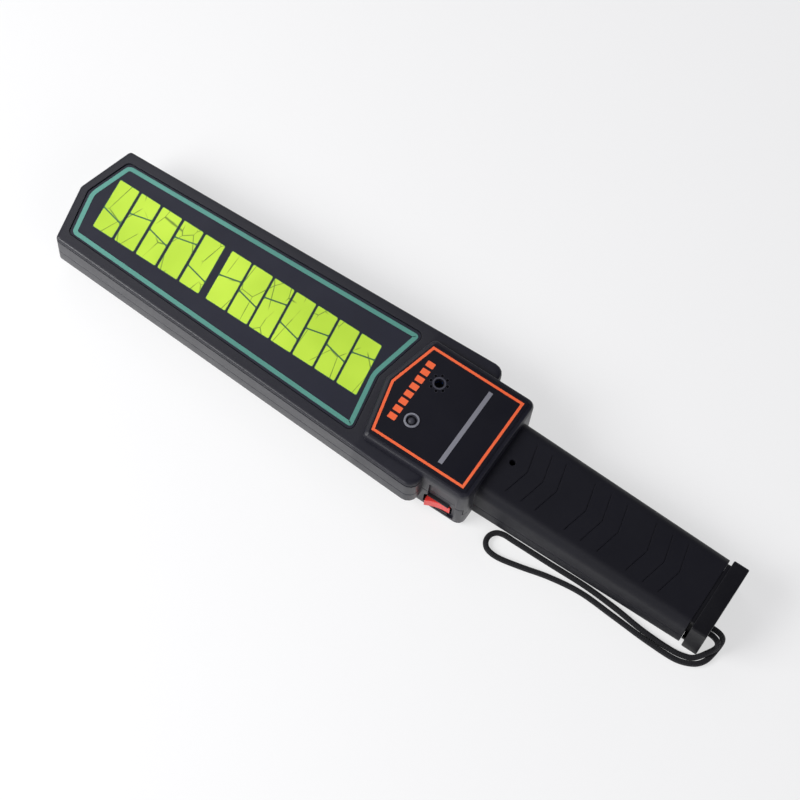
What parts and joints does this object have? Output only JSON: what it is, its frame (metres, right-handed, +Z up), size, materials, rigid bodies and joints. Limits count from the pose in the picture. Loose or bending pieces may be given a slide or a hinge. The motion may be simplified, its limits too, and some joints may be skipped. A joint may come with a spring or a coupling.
{
  "type": "security metal detector wand",
  "caption": "Hand-held metal detector: flat search head, raised control box with lamp, trimmer and side rocker switch, battery handle with sliding end cap and wrist strap.",
  "frame": {"origin": "middle of the wand's length and width, on the surface that its back lies on", "axes": "+X from the tip of the search head towards the end cap, +Y away from the switch side, +Z up out of the printed face"},
  "size_m": [0.419, 0.0849, 0.0391],
  "materials": {
    "casing_plastic": "fine-grained black moulded plastic",
    "head_plate": "printed dark plate, satin",
    "panel_plate": "printed black plate, satin",
    "grey_plastic": "satin grey",
    "lamp_resin": "smoky clear resin",
    "red_plastic": "glossy red",
    "black_plastic": "matt black",
    "blue_plastic": "blue sleeve",
    "white_nylon": "natural nylon",
    "board_laminate": "green solder mask",
    "coil_wire": "enamelled copper wire",
    "steel": "zinc-plated steel",
    "brass_metal": "plain brass",
    "battery_jacket": "plain printed-film jacket",
    "cord": "woven black cord",
    "wire_insulation_black": "black insulation",
    "wire_insulation_red": "red insulation",
    "wire_insulation_white": "white insulation"
  },
  "bodies": {
    "casing": {"upper_shell": "casing_plastic", "lower_shell": "casing_plastic", "head_label": "head_plate", "panel_label": "panel_plate", "led_bezel": "grey_plastic", "alarm_led": "lamp_resin", "sensitivity_trimmer": "blue_plastic", "circuit_board": "board_laminate", "signal_chip": "black_plastic", "sound_chip": "black_plastic", "coil_socket": "white_nylon", "lead_socket": "white_nylon", "capacitor_1": "blue_plastic", "capacitor_2": "blue_plastic", "coil_carrier": "white_nylon", "transmit_coil": "coil_wire", "receive_coil": "coil_wire", "coil_lead": "wire_insulation_black", "sounder": "black_plastic", "sounder_lead": "wire_insulation_black", "vibration_motor": "steel", "motor_lead": "wire_insulation_white", "switch_housing": "black_plastic", "switch_lead": "wire_insulation_white", "battery": "battery_jacket", "battery_snap": "black_plastic", "battery_lead_plus": "wire_insulation_red", "battery_lead_minus": "wire_insulation_black", "handle_screw": "steel", "case_screw_1": "steel", "case_screw_2": "steel", "case_screw_3": "steel", "case_screw_4": "steel", "case_screw_5": "steel", "board_screw_1": "steel", "board_screw_2": "steel", "board_screw_3": "steel", "board_screw_4": "steel"},
    "end_cap": {"battery_cap": "casing_plastic", "strap_knot": "cord", "wrist_strap": "cord"},
    "rocker": {"switch_rocker": "red_plastic"},
    "trimmer_screw": {"sensitivity_screw": "black_plastic"},
    "motor_weight": {"eccentric_weight": "brass_metal"}
  },
  "joints": [
    {"name": "cap_slide", "type": "slide", "parent": "casing", "child": "end_cap", "axis": [0, -1, 0], "range_m": [0, 0.038]},
    {"name": "switch_rock", "type": "hinge", "parent": "casing", "child": "rocker", "pos_m": [0.0514, -0.0326, 0.0101], "axis": [0, 0, 1], "range_deg": [-30, 0]},
    {"name": "trimmer_turn", "type": "hinge", "parent": "casing", "child": "trimmer_screw", "pos_m": [0.0193, 0.013, 0.0311], "axis": [0, 0, 1], "range_deg": [-130, 130]},
    {"name": "weight_spin", "type": "hinge", "parent": "casing", "child": "motor_weight", "pos_m": [0.0813, 0.008, 0.0092], "axis": [1, 0, 0], "continuous": true}
  ]
}
